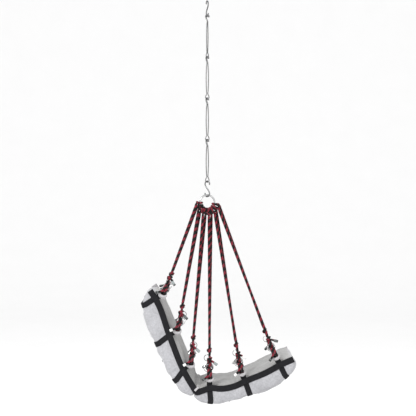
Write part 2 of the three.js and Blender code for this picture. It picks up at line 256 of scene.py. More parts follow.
class Look:
    """A procedural material: nodes are added in order and linked by their sockets."""

    def __init__(self, name, roughness, metallic=0.0, **sockets):
        self.material = bpy.data.materials.new(name)
        self.material.use_nodes = True
        self.tree = self.material.node_tree
        self.shader = self.tree.nodes["Principled BSDF"]
        self.shader.inputs["Roughness"].default_value = roughness
        self.shader.inputs["Metallic"].default_value = metallic
        for key, value in sockets.items():
            self.shader.inputs[key.replace("_", " ")].default_value = value

    def node(self, kind, **values):
        made = self.tree.nodes.new("ShaderNode" + kind)
        for key, value in values.items():
            if key in made.inputs and not hasattr(made, key):
                self.feed(made.inputs[key], value)
            elif hasattr(made, key):
                setattr(made, key, value)
            else:
                self.feed(made.inputs[key.replace("_", " ")], value)
        return made

    def feed(self, socket, value):
        if isinstance(value, bpy.types.NodeSocket):
            self.tree.links.new(value, socket)
        else:
            socket.default_value = value

    def place(self, scale=(1, 1, 1), turn=(0, 0, 0), uv=False):
        """Coordinates in metres over the object, or along and across a piece."""
        if uv:
            source = self.node("UVMap", uv_map="run").outputs["UV"]
        else:
            source = self.node("TexCoord").outputs["Object"]
        return self.node("Mapping", Vector=source, Scale=scale, Rotation=turn).outputs["Vector"]

    def noise(self, vector, scale, detail=4.0, roughness=0.55, distortion=0.0):
        return self.node(
            "TexNoise", Vector=vector, Scale=scale, Detail=detail, Roughness=roughness, Distortion=distortion
        ).outputs["Fac"]

    def ramp(self, value, stops):
        made = self.node("ValToRGB", Fac=value)
        bands = made.color_ramp.elements
        while len(bands) < len(stops):
            bands.new(0.5)
        for band, (place, color) in zip(bands, stops):
            band.position = place
            band.color = (*color, 1) if len(color) == 3 else (color[0],) * 3 + (1,)
        return made.outputs["Color"]

    def mix(self, a, b, factor, blend="MIX"):
        made = self.tree.nodes.new("ShaderNodeMix")
        made.data_type = "RGBA"
        made.blend_type = blend
        self.feed(made.inputs["Factor"], factor)
        self.feed(made.inputs["A"], a)
        self.feed(made.inputs["B"], b)
        return made.outputs["Result"]

    def shade(self, base, value, low, high, factor):
        """A colour made darker or paler by a value, between two stops (place, level)."""
        grey = self.ramp(value, [(place, (level,)) for place, level in (low, high)])
        return self.mix(base, grey, factor, "MULTIPLY")

    def math(self, operation, a, b=0.0, c=0.0):
        made = self.tree.nodes.new("ShaderNodeMath")
        made.operation = operation
        for socket, value in zip(made.inputs, (a, b, c)):
            self.feed(socket, value)
        return made.outputs[0]

    def color(self, value):
        self.feed(self.shader.inputs["Base Color"], value)

    def roughness(self, value, low, high):
        spread = self.node("MapRange", Value=value, To_Min=low, To_Max=high)
        self.feed(self.shader.inputs["Roughness"], spread.outputs["Result"])

    def bump(self, height, distance, strength=1.0, under=None):
        made = self.node("Bump", Height=height, Distance=distance, Strength=strength)
        if under is not None:
            self.feed(made.inputs["Normal"], under)
        self.feed(self.shader.inputs["Normal"], made.outputs["Normal"])
        return made.outputs["Normal"]


def felt(name, tone, fleck=0.5, seed=0.0):
    """Pressed heather felt: pale and dark fibres laid in all directions, with soft mottling."""
    look = Look(name, 0.95, Sheen_Weight=0.35, Sheen_Roughness=0.5, Specular_IOR_Level=0.2)
    spot = look.place(turn=(seed, 0.3, 0.2))
    fine = look.noise(spot, 900, 5, 0.7, 0.4)
    lay_a = look.noise(look.place((900, 160, 160), (0.5, 0.9 + seed, 0.3)), 1, 4, 0.6, 1.2)
    lay_b = look.noise(look.place((150, 160, 900), (0.2, -0.6, 0.5 + seed)), 1, 4, 0.6, 1.2)
    cloud = look.noise(spot, 125, 4, 0.65, 0.3)
    broad = look.noise(spot, 14, 2, 0.5)
    dark, light = [c * (1 - 0.55 * fleck) for c in tone], [min(1, c * (1 + 0.35 * fleck)) for c in tone]
    base = look.ramp(fine, [(0.28, dark), (0.45, tone), (0.55, tone), (0.75, light)])
    base = look.mix(base, look.ramp(lay_a, [(0.3, dark), (0.5, tone), (0.72, light)]), 0.4)
    base = look.mix(base, look.ramp(lay_b, [(0.3, dark), (0.5, tone), (0.72, light)]), 0.3)
    base = look.shade(base, cloud, (0.32, 0.72), (0.68, 1.16), 0.7)
    base = look.shade(base, broad, (0.3, 0.86), (0.7, 1.08), 0.7)
    look.color(base)
    fuzz = look.mix(fine, look.mix(lay_a, lay_b, 0.5), 0.5)
    look.bump(fuzz, 0.0012, 0.7)
    return look.material


def webbing(name, tone=(0.0065, 0.0065, 0.0078)):
    """Flat black nylon webbing: fine ribs across it and a twill line along it."""
    look = Look(name, 0.75, Specular_IOR_Level=0.16)
    uv = look.place(uv=True)
    split = look.node("SeparateXYZ", Vector=uv)
    along, over = split.outputs["X"], split.outputs["Y"]
    zig = look.math("PINGPONG", look.math("MULTIPLY", over, 1.0), 0.0625)
    ribs = look.math("SINE", look.math("MULTIPLY_ADD", along, 3600.0, look.math("MULTIPLY", zig, 120.0)))
    yarns = look.math("SINE", look.math("MULTIPLY", over, 130.0))
    weave = look.math("MULTIPLY", ribs, look.math("MULTIPLY_ADD", yarns, 0.25, 0.75))
    grain = look.noise(look.place(), 500, 3, 0.6)
    dust = look.noise(look.place(), 30, 3, 0.6)
    pale = [c * 2.4 + 0.004 for c in tone]
    base = look.ramp(grain, [(0.3, tone), (0.8, pale)])
    base = look.shade(base, dust, (0.35, 0.7), (0.75, 1.5), 0.6)
    base = look.shade(base, weave, (0.1, 0.65), (0.9, 1.35), 0.6)
    look.color(base)
    look.roughness(dust, 0.6, 0.85)
    under = look.bump(weave, 0.0005, 0.6)
    look.bump(grain, 0.0003, 0.4, under)
    return look.material


def yarn(name, tone, pale):
    """One colour of the laid rope: fine yarns along the strand, with stray fibres."""
    look = Look(name, 0.8, Sheen_Weight=0.08, Sheen_Roughness=0.45, Specular_IOR_Level=0.2)
    uv = look.place(uv=True)
    split = look.node("SeparateXYZ", Vector=uv)
    along, over = split.outputs["X"], split.outputs["Y"]
    slant = look.math("MULTIPLY_ADD", along, 900.0, look.math("MULTIPLY", over, 150.0))
    lines = look.math("SINE", slant)
    fuzz = look.noise(look.place(), 1100, 3, 0.7)
    worn = look.noise(look.place(), 60, 3, 0.6)
    base = look.ramp(fuzz, [(0.25, [c * 0.6 for c in tone]), (0.5, tone), (0.8, pale)])
    base = look.shade(base, worn, (0.3, 0.75), (0.7, 1.2), 0.6)
    look.color(base)
    under = look.bump(lines, 0.0004, 0.5)
    look.bump(fuzz, 0.0005, 0.5, under)
    return look.material


def galvanised(name):
    """Zinc plated steel: dull grey with a faint spangle, stains and drawn lines."""
    look = Look(name, 0.42, 1.0)
    spangle = look.node("TexVoronoi", Vector=look.place(), Scale=420.0).outputs["Color"]
    stain = look.noise(look.place(), 90, 5, 0.65, 0.5)
    fine = look.noise(look.place((1, 1, 0.25)), 1500, 3, 0.6)
    base = look.ramp(
        stain, [(0.25, (0.1, 0.1, 0.103)), (0.5, (0.19, 0.19, 0.193)), (0.8, (0.32, 0.32, 0.323))]
    )
    base = look.mix(base, spangle, 0.06, "OVERLAY")
    look.color(base)
    look.roughness(stain, 0.5, 0.3)
    look.bump(fine, 0.00015, 0.5)
    return look.material


def nickel(name):
    """Bright plated steel with fine rubbing marks."""
    look = Look(name, 0.14, 1.0)
    marks = look.noise(look.place((1, 1, 6)), 260, 4, 0.65)
    cloud = look.noise(look.place(), 45, 3, 0.5)
    look.color(look.ramp(cloud, [(0.3, (0.34, 0.34, 0.345)), (0.7, (0.56, 0.56, 0.56))]))
    look.roughness(marks, 0.12, 0.3)
    look.bump(marks, 0.00008, 0.4)
    return look.material


def sleeve_plastic(name, tone, rough=0.5):
    """Shrunk-on plastic sleeve: slightly cloudy, with small dents."""
    look = Look(name, rough)
    cloud = look.noise(look.place(), 120, 4, 0.6)
    look.color(look.ramp(cloud, [(0.3, [c * 0.75 for c in tone]), (0.7, [min(1, c * 1.2) for c in tone])]))
    look.roughness(cloud, rough - 0.1, rough + 0.15)
    look.bump(look.noise(look.place(), 300, 3, 0.6), 0.0005, 0.4)
    return look.material


def foam_look(name):
    """Cut open-cell foam."""
    look = Look(name, 0.95, Specular_IOR_Level=0.2)
    cells = look.node("TexVoronoi", Vector=look.place(), Scale=700.0).outputs["Distance"]
    look.color(look.ramp(cells, [(0.1, (0.45, 0.4, 0.28)), (0.6, (0.78, 0.72, 0.55))]))
    look.bump(cells, 0.001, 0.8)
    return look.material


FELT_SIDE = felt("felt_side", (0.375, 0.375, 0.393), 0.65)
FELT_FACE = felt("felt_face", (0.33, 0.33, 0.326), 0.9, 0.7)
FELT_LOOP = felt("felt_loop", (0.42, 0.41, 0.42), 0.5, 1.3)
# The welt's felt is paler than the covers': a painted highlight standing in for the light band along the
# seam's fold.
WELT_FELT_PAINTED_HIGHLIGHT = felt("felt_welt_painted_highlight", (0.5, 0.5, 0.5), 0.4, 2.1)
WEBBING = webbing("webbing")
THREAD = webbing("thread", (0.022, 0.022, 0.025))
RED = yarn("rope_red", (0.17, 0.012, 0.024), (0.4, 0.06, 0.08))
BLACK = yarn("rope_black", (0.004, 0.0045, 0.0045), (0.018, 0.02, 0.02))
STEEL = galvanised("galvanised")
NICKEL = nickel("nickel")
SLEEVE = sleeve_plastic("sleeve_grey", (0.26, 0.29, 0.29))
SLEEVE_DARK = sleeve_plastic("sleeve_dark", (0.1, 0.11, 0.11))
CAP_BLACK = sleeve_plastic("cap_black", (0.012, 0.013, 0.013), 0.4)
CAP_WHITE = sleeve_plastic("cap_white", (0.75, 0.75, 0.74), 0.45)
FOAM = foam_look("foam")
ZIP_TAPE = webbing("zip_tape", (0.02, 0.02, 0.022))
ZIP_TEETH = sleeve_plastic("zip_teeth", (0.03, 0.03, 0.033), 0.35)

# ---------------------------------------------------------------- the chain


def upright(points, yaw):
    """Points of a plane (out, up) as points in space, the plane turned about Z."""
    points = np.asarray(points, float)
    turn = math.radians(yaw)
    return np.column_stack([points[:, 0] * math.cos(turn), points[:, 0] * math.sin(turn), points[:, 1]])


def s_hook(name, bearing, yaw, body):
    high = bearing + S_HOOK["wire"] / 2 - S_HOOK["bend"]
    low = high - (S_HOOK["height"] - S_HOOK["wire"] - 2 * S_HOOK["bend"])
    upper = arc(0, high, S_HOOK["bend"], -25, 200, 18)
    lower = arc(0, low, S_HOOK["bend"], 20, -205, 18)
    path = spline(upright(np.vstack([upper, lower]), yaw), 2)
    return rod(f"{name}_bar", path, S_HOOK["wire"], STEEL, body, "steel", replaces=[name])


def link(name, apex, yaw, body):
    centre = apex - LINK["hook"]
    pinch, spread = LINK["pinch"], LINK["spread"]
    hook = [(pinch, f, z) for f, z in arc(0, centre, LINK["hook"], -30, 205, 14)]
    foot = apex - LINK["pitch"] - LINK["wire"] - LINK["seat"] + LINK["eye"]
    shank = [
        (pinch, -LINK["wire"], centre - LINK_NECK["throat"]),
        (pinch, 0, centre - LINK_NECK["pinched"]),
        (spread, 0, centre - LINK_NECK["shoulder"]),
        (spread, 0, foot + LINK_NECK["splay"]),
        (pinch + 1, 0, foot + LINK_NECK["close"]),
    ]
    eye = [(e, 0, z) for e, z in arc(0, foot, LINK["eye"], 30, -90, 10)]
    half = np.array([*hook, *shank, *eye])
    whole = np.vstack([half, half[-2::-1] * [-1, 1, 1]])
    turn = math.radians(yaw - 90)
    c, s = math.cos(turn), math.sin(turn)
    x, y, z = whole.T
    path = spline(np.column_stack([x * c - y * s, x * s + y * c, z]), 2)
    return rod(f"{name}_wire", path, LINK["wire"], STEEL, body, "steel", sides=12, replaces=[name])


top_foot = 2 * S_HOOK["wire"] - S_HOOK["height"]
first_apex = top_foot + LINK["wire"] / 2 + LINK["seat"]
low_bearing = first_apex - len(LINK_YAWS) * LINK["pitch"] - LINK["wire"] / 2 - LINK["seat"] + GAP
ring_top = low_bearing + 2 * S_HOOK["wire"] - S_HOOK["height"] + 2 * GAP + RING["wire"] / 2
RING_CENTRE = np.array([0, 0, ring_top - RING["radius"]])
RING_ACROSS = upright([(1, 0)], RING["yaw"])[0]
RING_NORMAL = upright([(1, 0)], RING["yaw"] + 90)[0]

# ---------------------------------------------------------------- rope legs


def ring_point(angle):
    """The ring's wire centre at an angle, and the direction out from the ring's centre there."""
    turn = math.radians(angle)
    radial = RING_ACROSS * math.cos(turn) + np.array([0, 0, math.sin(turn)])
    return RING_CENTRE + RING["radius"] * radial, radial


class LegFrame:
    """A rope leg's own directions: w across it, v through its loop, u up it towards the ring."""

    def __init__(self, foot, head):
        self.foot = np.asarray(foot, float)
        self.u = unit(np.asarray(head) - self.foot)
        self.v = unit(np.array([0, 1, 0]) - self.u * self.u[1])
        self.w = np.cross(self.v, self.u)

    def __call__(self, points):
        points = np.atleast_2d(np.asarray(points, float))
        return self.foot + points[:, :1] * self.w + points[:, 1:2] * self.v + points[:, 2:] * self.u


def outline_of(node):
    """A cover's outline in X and Z (mm), counter-clockwise, from the rim of its right side."""
    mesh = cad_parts[node].data
    co = np.array([v.co for v in mesh.vertices]) / MM
    low = co[:, 1].min()
    edges = []
    for polygon in mesh.polygons:
        ring = list(polygon.vertices)
        if all(abs(co[i][1] - low) < 0.01 for i in ring):
            corners = [tuple(np.round(co[i][[0, 2]], 2)) for i in ring]
            edges += zip(corners, corners[1:] + corners[:1])
    paired = set(edges)
    rim = {a: b for a, b in edges if (b, a) not in paired}
    walk = [next(iter(rim))]
    while rim[walk[-1]] != walk[0]:
        walk.append(rim[walk[-1]])
    walk = np.array(walk)
    x, z = walk.T
    area = np.sum(x * np.roll(z, -1) - np.roll(x, -1) * z)
    return walk if area > 0 else walk[::-1]


OUTLINES = {"back": outline_of("back_cover"), "seat": outline_of("seat_cover")}


def on_outline(outline, point):
    """The place on an outline nearest a point, and the outline's normal there, facing out."""
    best = None
    for a, b in zip(outline, np.roll(outline, -1, axis=0)):
        length = np.linalg.norm(b - a)
        if length < 0.01:
            continue
        t = np.clip(np.dot(point - a, b - a) / length**2, 0, 1)
        near = a + t * (b - a)
        far = np.linalg.norm(near - point)
        if best is None or far < best[0]:
            best = (far, near, np.array([b[1] - a[1], a[0] - b[0]]) / length)
    return best[1], best[2]


def strap_points(name):
    """A cross strap's panel, its top point, the face normal there, its foot and the outer normal."""
    panel = name.split("_")[0]
    inner, outer = STRAPS[name]
    outline = OUTLINES[panel]
    if panel == "back":
        inner, outer, normal = on_back(inner), on_back(outer), BACK_OUT
    else:
        inner, outer = np.array(inner, float), np.array(outer, float)
        normal = on_outline(outline, inner)[1]
    foot, out = on_outline(outline, outer)
    return panel, inner, normal, foot, out


def leg_frames(index, name):
    panel, inner, normal, _, _ = strap_points(name)
    middle, radial = ring_point(HITCH["middle"] + (index - 2.5) * HITCH["step"])
    reach = (RING["wire"] + ROPE) / 2 + 2 * GAP
    frames = {}
    for side, sign in SIDES.items():
        angle = math.radians(-25 if sign < 0 else 205)
        head = middle - RING_NORMAL * reach * math.cos(angle) - radial * reach * math.sin(angle)
        foot = inner + normal * STAND_OFF[panel]
        frames[side] = LegFrame([foot[0], sign * (HALF_WIDTH + 1), foot[1]], head)
    return frames


LEGS = {name: leg_frames(i, name) for i, name in enumerate(NAMES)}

# A right leg's foot from above its knot down (w, v, u): the eye in the split ring, the knot and the tail.
EYE_ROUTE = [
    (0, 0, 122), (0, -1, 108), (-1, -4, 96.5), (0, -8, 84), (0, -10, 74.5),
    (0, -8.2, 66), (0, 0, 62.1), (0, 8.2, 66), (0, 10, 74.5), (1.5, 10, 84),
    (-2, 9.5, 89), (-8, 4.6, 91), (-9.2, -3.4, 94), (-2.8, -11, 97.5), (6, -8.8, 100.5),
    (9, -1.4, 102.5), (3.6, 7, 103), (-5.2, 6.8, 100.5), (-9.4, -1, 97), (-6.2, -10, 93),
    (1.8, -14.5, 89.5), (10.5, -12, 85), (19, -8, 79.5), (28, -5, 73), (37, -3.5, 67),
]
# The left legs mirror it, and their tails point away from the seat.
TAIL_BEHIND = [(1.8, 14.5, 89.5), (4.5, 22, 86), (5, 30, 80), (5, 39, 73.5), (5, 48, 67.5)]

# The near half of the hitch on the ring (along the wire, out from the ring's centre, behind the wire).
HITCH_ROUTE = [
    (-7.2, 22, -13.5), (-7, 11, -12.8), (-6.5, 2, -12), (-6.2, -8.4, -7.6), (-6.2, -11.6, 0),
    (-6.6, -8.4, 7.6), (-8, 0, 11.2), (-10.8, 8, 9.6), (-13.4, 13.5, 2), (-13.2, 16, -9),
    (-9, 16.5, -19), (0, 16.5, -23),
]


def hitch_route(index):
    middle, radial = ring_point(HITCH["middle"] + (index - 2.5) * HITCH["step"])
    along = np.cross(RING_NORMAL, radial)
    if along[0] < 0:
        along = -along
    half = np.array(HITCH_ROUTE, float)
    whole = np.vstack([half, half[-2::-1] * [-1, 1, 1]])
    return middle + whole[:, :1] * along + whole[:, 1:2] * radial + whole[:, 2:] * RING_NORMAL


def lobed(radius, per_lobe=6, lobes=4, depth=0.17):
    """A laid rope's section: round strands side by side."""
    turn = np.linspace(0, 2 * math.pi, per_lobe * lobes, endpoint=False)
    swell = 1 - depth * (1 - np.abs(np.cos(turn * lobes / 2)) ** 0.8)
    return radius * swell[:, None] * np.column_stack([np.cos(turn), np.sin(turn)])


ROPE_SECTION = lobed(ROPE / 2)
ROPE_PICKS = [0 if 2 <= j < 12 else 1 for j in range(24)]
LAY = 38.0  # the length of one turn of the rope's strands
TIP = {"share": 0.76, "fade": 9}  # how narrow the rope is inside a sleeve, and over what length it narrows
LASHING_SHARE = 0.88


def laid_rope(name, path, radius=None, phase=0.0, tips=(0, 0), **more):
    """A twisted two-colour rope along a path, narrowed by radius and, over tips (mm), in its sleeves."""
    path, scale = rounded(path, ROPE / 2, 3)
    run = travelled(path)
    if radius is not None:
        scale = scale * radius(path)
    for tip, left in zip(tips, (run, run[-1] - run)):
        if tip:
            widening = np.clip((left - tip) / TIP["fade"], 0, 1)
            scale = np.minimum(scale, TIP["share"] + (1 - TIP["share"]) * widening)
    spin = phase + 2 * math.pi * run / LAY
    piece = sweep(
        name, path, ROPE_SECTION, [RED, BLACK], "chair", "rope",
        scale=scale, spin=spin, picks=ROPE_PICKS, **more,
    )
    return piece, path


def straight(start, end, margin=18):
    """Two points that keep the stretch between start and end straight."""
    way = unit(end - start)
    return np.array([start + margin * way, end - margin * way])


def tube_piece(name, start, way, length, radii, material):
    """A short turned sleeve or cap on a rope's end: radii at even steps along it."""
    path = start + np.linspace(0, length, len(radii))[:, None] * way
    return sweep(name, path, disc(1, 16), [material], "chair", "zip", scale=radii)


TAGS = {  # upper tail: sleeve material, length, black end cap
    "back_upper": (SLEEVE, 22, True),
    "back_middle": (SLEEVE_DARK, 24, True),
    "back_lower": (SLEEVE, 25, False),
    "seat_rear": (SLEEVE, 22, False),
    "seat_middle": (CAP_WHITE, 24, False),
    "seat_front": (SLEEVE_DARK, 16, True),
}


# A squeezed rope's least share of its width, how far (mm) that reaches, and how slowly it widens again.
PINCH = {"knot": (0.7, 17, 60), "ring": (0.82, 26, 100)}


def squeezed(frames, middle):
    """A function of a path: how much the rope narrows in its knots and, less, on the ring."""
    places = [(leg([[0, 0, LEG["knot"] + 2]])[0], PINCH["knot"]) for leg in frames.values()]
    places.append((middle, PINCH["ring"]))

    def at(path):
        near = [(np.linalg.norm(path - place, axis=1), pinch) for place, pinch in places]
        shares = [np.clip(least + (far - reach) / fade, least, 1) for far, (least, reach, fade) in near]
        return np.min(shares, axis=0)

    return at


CAP_RADII = [4.6, 6.4, 6.9, 6.9, 6.8, 6.1, 4.6]
SLEEVE_RADII = [6.2, 7, 7.2, 7, 7.1, 7.2, 7, 6.3]


def end_pieces(name, points, sleeve, cap):
    """A sleeve and a cap on a rope's end, from its last points; each is (material, length) or None."""
    way = unit(points[-1] - points[-4])
    tip = points[-1]
    made = []
    if cap:
        material, length = cap
        start = tip - way * (length - 1.2)
        made.append(tube_piece(f"{name}_cap", start, way, length, CAP_RADII, material))
    if sleeve:
        material, length = sleeve
        start = tip - way * (length + (cap[1] - 2 if cap else -1))
        made.append(tube_piece(f"{name}_sleeve", start, way, length, SLEEVE_RADII, material))
    return made


def rope(index, name):
    """One strap's whole rope: tail, knot and eye on the right, the hitch, and the same on the left."""
    legs = LEGS[name]
    right = legs["right"](EYE_ROUTE[::-1])
    mirrored = np.array(EYE_ROUTE[: -len(TAIL_BEHIND)]) * [1, -1, 1]
    left = legs["left"](np.vstack([mirrored, TAIL_BEHIND]))
    hitch = hitch_route(index)
    up, down = straight(right[-1], hitch[0]), straight(hitch[-1], left[0])
    path = spline(np.vstack([right, up, hitch, down, left]), 2.5)
    middle, _ = ring_point(HITCH["middle"] + (index - 2.5) * HITCH["step"])
    sleeve, length, capped = TAGS[name]
    tips = [length + (6 if capped else 0)] * 2
    piece, line = laid_rope(
        f"rope_{name}_laid", path, radius=squeezed(legs, middle), phase=index * 1.1, tips=tips,
        replaces=[f"rope_{name}"],
    )
    ends = []
    for side, points in (("right", line[::-1]), ("left", line)):
        cap = (CAP_BLACK, 6) if capped else None
        ends += end_pieces(f"rope_{name}_{side}", points, (sleeve, length), cap)


# Two turns between split ring and felt loop for a right leg (w, v, u), then the tail; left legs mirror v.
LASHING_ROUTE = [
    (8.5, 12, 6), (6.6, 19.5, 6), (6.4, 21.5, 14), (6.2, 15.5, 26), (6.1, 10, 36.5), (6.1, 0, 44.3),
    (6.1, -10, 36.5), (6.2, -15.5, 26), (6.4, -21.5, 14), (6.2, -19.5, 6), (3.5, -11, 4.2), (0, 0, 3.6),
    (-3.5, 11, 4.2), (-6.2, 19.5, 6), (-6.4, 21.5, 14), (-6.2, 15.5, 26), (-6.1, 10, 36.5), (-6.1, 0, 44.3),
    (-6.1, -10, 36.5), (-6.4, -15.5, 26), (-7.2, -21, 15), (-10.5, -23.5, 6), (-17.5, -24, 0),
    (-26.5, -22.5, -6), (-36, -22, -12),
]


def lashing(name, side):
    sign = SIDES[side]
    route = np.array(LASHING_ROUTE, float) * [1, -sign, 1]
    path = spline(LEGS[name][side](route), 2.5)
    node = f"lashing_{name}_{side}"
    piece, line = laid_rope(
        f"{node}_laid", path, radius=lambda p: LASHING_SHARE, phase=len(node) * 0.7, tips=(0, 15),
        replaces=[node],
    )
    white = name in ("back_middle", "back_lower", "seat_middle")
    sleeve, cap = ((CAP_WHITE, 15), None) if white else ((SLEEVE_DARK, 7), (CAP_BLACK, 7))
    end_pieces(node, line, sleeve, cap)


for order, strap in enumerate(NAMES):
    rope(order, strap)
    for leg_side in SIDES:
        lashing(strap, leg_side)

# ---------------------------------------------------------------- chain, ring and split rings

s_hook("top_s_hook", 0, S_HOOK["top_yaw"], "support")
for order, turned in enumerate(LINK_YAWS):
    link(f"extension_link_{order + 1}", first_apex - order * LINK["pitch"], turned, f"link_{order + 1}")
s_hook("lower_s_hook", low_bearing, S_HOOK["low_yaw"], "lower_hook")

turns = np.linspace(0, 2 * math.pi, 120, endpoint=False)
ring_path = RING_CENTRE + RING["radius"] * (
    np.cos(turns)[:, None] * RING_ACROSS + np.sin(turns)[:, None] * np.array([0, 0, 1])
)
sweep("main_ring_bar", ring_path, disc(RING["wire"] / 2, 24), [NICKEL], "chair", "nickel", closed=True,
      replaces=["main_ring"])

# How far each split ring lies off its leg's middle, and the coil it is wound as.
RING_SHIFT = dict(zip(NAMES, (6, 10, 4, -10, -7, -7)))
COIL = {"start": 0.3, "over": 0.2, "points": 140, "pitch": 0.85, "sharp": 3, "slack": 0.5}
COIL_WIRE = [
    (-1.5, -0.55), (-1.3, -0.8), (1.3, -0.8), (1.5, -0.55),
    (1.5, 0.55), (1.3, 0.8), (-1.3, 0.8), (-1.5, 0.55),
]


def split_ring(name, side):
    """A key-ring coil of flat wire: two turns side by side with a crossing step."""
    leg = LEGS[name][side]
    turn = np.linspace(COIL["start"], 4 * math.pi + COIL["over"], COIL["points"])
    step = COIL["pitch"] * np.tanh((turn - 2 * math.pi) * COIL["sharp"])
    radius = SPLIT_RING - COIL["slack"]
    across, up = RING_SHIFT[name] + radius * np.cos(turn), LEG["split_ring"] + radius * np.sin(turn)
    path = leg(np.column_stack([across, step, up]))
    node = f"split_ring_{name}_{side}"
    sweep(f"{node}_coil", path, COIL_WIRE, [NICKEL], "chair", "nickel", replaces=[node])


for strap in NAMES:
    for leg_side in SIDES:
        split_ring(strap, leg_side)

# ---------------------------------------------------------------- cushions


def inset(outline, distance):
    """An outline moved inwards; outlines run counter-clockwise."""
    before, after = np.roll(outline, 1, axis=0), np.roll(outline, -1, axis=0)
    way = after - before
    way /= np.linalg.norm(way, axis=1)[:, None]
    return outline + distance * np.column_stack([-way[:, 1], way[:, 0]])


def closed_even(outline, step):
    """A closed outline's corners rounded off a little and its points spaced evenly."""
    ring = even(np.vstack([outline, outline[:1]]), step)[:-1]
    for _ in range(3):
        ring = 0.5 * ring + 0.25 * (np.roll(ring, 1, axis=0) + np.roll(ring, -1, axis=0))
    return ring


def block(outline, half, corner, steps=5):
    """A prism of an outline from y = -half to half, its rims rounded by corner: vertices and faces."""
    turn = np.linspace(0, math.pi / 2, steps)
    profile = [(corner * (1 - math.sin(t)), -half + corner * (1 - math.cos(t))) for t in turn]
    profile += [(d, -y) for d, y in reversed(profile)]
    n = len(outline)
    verts = np.vstack([np.insert(inset(outline, d), 1, y, axis=1) for d, y in profile])
    faces = grid_faces(len(profile), n).tolist()
    faces += [list(range(n)), list(range((len(profile) - 1) * n, len(profile) * n))[::-1]]
    return verts, faces


def segment_distance(points, a, b):
    """How far points (n, 2) are from the segment a to b."""
    a, b = np.asarray(a, float), np.asarray(b, float)
    t = np.clip((points - a) @ (b - a) / np.dot(b - a, b - a), 0, 1)
    return np.linalg.norm(points - a - t[:, None] * (b - a), axis=1)


def line_distance(points, line):
    return np.min([segment_distance(points, a, b) for a, b in zip(line, line[1:])], axis=0)


STRAP_LINE = [*STRAP_DOWN, *STRAP_ALONG]
CONTACT = [(-75, -1992), (-61, -1966)]
# How the felt stands out between its holders, past the cloth's own swelling: height, and how far to reach it.
CROWN = {"height": 6.5, "reach": 34, "power": 1.4, "far": 200}
HOLD = {"full": 11, "none": 24}  # how near a holder the felt is held fully, and how far off not at all
SIDE_BAND = {"wide": 30, "fade": 14, "off": 60}  # only felt this near the side walls is held by a strap there
FOOT_REACH = 40
STRAP_EASE, SEAM_EASE = 6, 4  # added to a side strap's distance, and taken off the zip's and the crease's
CLOTH = {"pressure": 8, "stretch": 12, "bend": 2, "quality": 4, "frames": 20}
CUSHION = {"inset": 2.0, "side_inset": 2.5, "rim": 12, "step": 6, "voxel": 0.0065, "cap": 0.012}
CORE = {"inset": 15, "step": 8, "rim": 12}
LUMPS = [  # the stretch of the noise, then its size, height (m) and seed
    ((1, 1, 1), 0.085, 0.004, 3.1), ((1, 1, 1), 0.034, 0.0022, 7.7), ((1, 2.6, 0.6), 0.03, 0.0012, 1.3),
]
SITTER = {"lean": 28, "from": 0.08, "over": 0.3, "facing": 0.62, "sideways": 0.75}


def held(co, panel):
    """How firmly a cushion's points (mm) are held by the straps and the zip around it, from 0 to 1."""
    return np.clip((HOLD["none"] - holder_distance(co, panel)) / (HOLD["none"] - HOLD["full"]), 0, 1)


def holder_distance(co, panel):
    """How far (mm) a cushion's points are from the straps, the zip and the other cushion that hold it in."""
    flat = co[:, [0, 2]]
    on_side = np.clip((np.abs(co[:, 1]) - (HALF_WIDTH - SIDE_BAND["wide"])) / SIDE_BAND["fade"], 0, 1)
    off_side = SIDE_BAND["off"] * (1 - on_side)
    far = np.full(len(co), np.inf)
    for name in NAMES:
        panel_of, inner, _, foot, out = strap_points(name)
        if panel_of != panel:
            continue
        far = np.minimum(far, segment_distance(flat, inner, foot) + off_side)
        along = np.abs((flat - foot) @ np.array([-out[1], out[0]]))
        near_foot = np.linalg.norm(flat - foot, axis=1) < FOOT_REACH
        far = np.minimum(far, np.where(near_foot, along, np.inf))
    far = np.minimum(far, line_distance(flat, STRAP_LINE) + STRAP_EASE + off_side)
    place, _ = zip_line(panel)
    far = np.minimum(far, np.linalg.norm(flat - place, axis=1) - SEAM_EASE)
    return np.minimum(far, segment_distance(flat, *CONTACT) - SEAM_EASE)


def zip_line(panel):
    """Where the zip runs in X and Z, and the normal there, facing out."""
    place = on_back(ZIP["back"]) if panel == "back" else np.array(ZIP["seat"], float)
    return on_outline(OUTLINES[panel], place)


def coordinates(piece):
    co = np.empty(len(piece.data.vertices) * 3, np.float32)
    piece.data.vertices.foreach_get("co", co)
    return co.reshape(-1, 3).astype(float)


def move_to(piece, co):
    """Puts a piece's vertices at co (m)."""
    piece.data.vertices.foreach_set("co", co.astype(np.float32).ravel())
    piece.data.update()


def swell(piece, grip, cap):
    """Blows a cushion up with Cloth, held by grip (0 to 1) and moving no point further than cap (m)."""
    group = piece.vertex_groups.new(name="grip")
    for level in np.unique(np.round(grip, 1)):
        group.add(np.nonzero(np.round(grip, 1) == level)[0].tolist(), float(level), "REPLACE")
    before = coordinates(piece)
    scene = bpy.context.scene
    cloth = piece.modifiers.new("stuffing", "CLOTH")
    settings = cloth.settings
    settings.use_pressure = True
    settings.uniform_pressure_force = CLOTH["pressure"]
    settings.effector_weights.gravity = 0
    settings.vertex_group_mass = "grip"
    settings.tension_stiffness = settings.compression_stiffness = CLOTH["stretch"]
    settings.bending_stiffness = CLOTH["bend"]
    settings.quality = CLOTH["quality"]
    for number in range(CLOTH["frames"]):
        scene.frame_set(number + 1)
    shaped = piece.evaluated_get(bpy.context.evaluated_depsgraph_get())
    after = np.array([v.co for v in shaped.data.vertices], float)
    piece.modifiers.remove(cloth)
    scene.frame_set(1)
    piece.vertex_groups.clear()
    move = after - before
    far = np.linalg.norm(move, axis=1)
    move *= (cap * np.tanh(far / cap) / np.maximum(far, 1e-9))[:, None]
    move_to(piece, before + move)


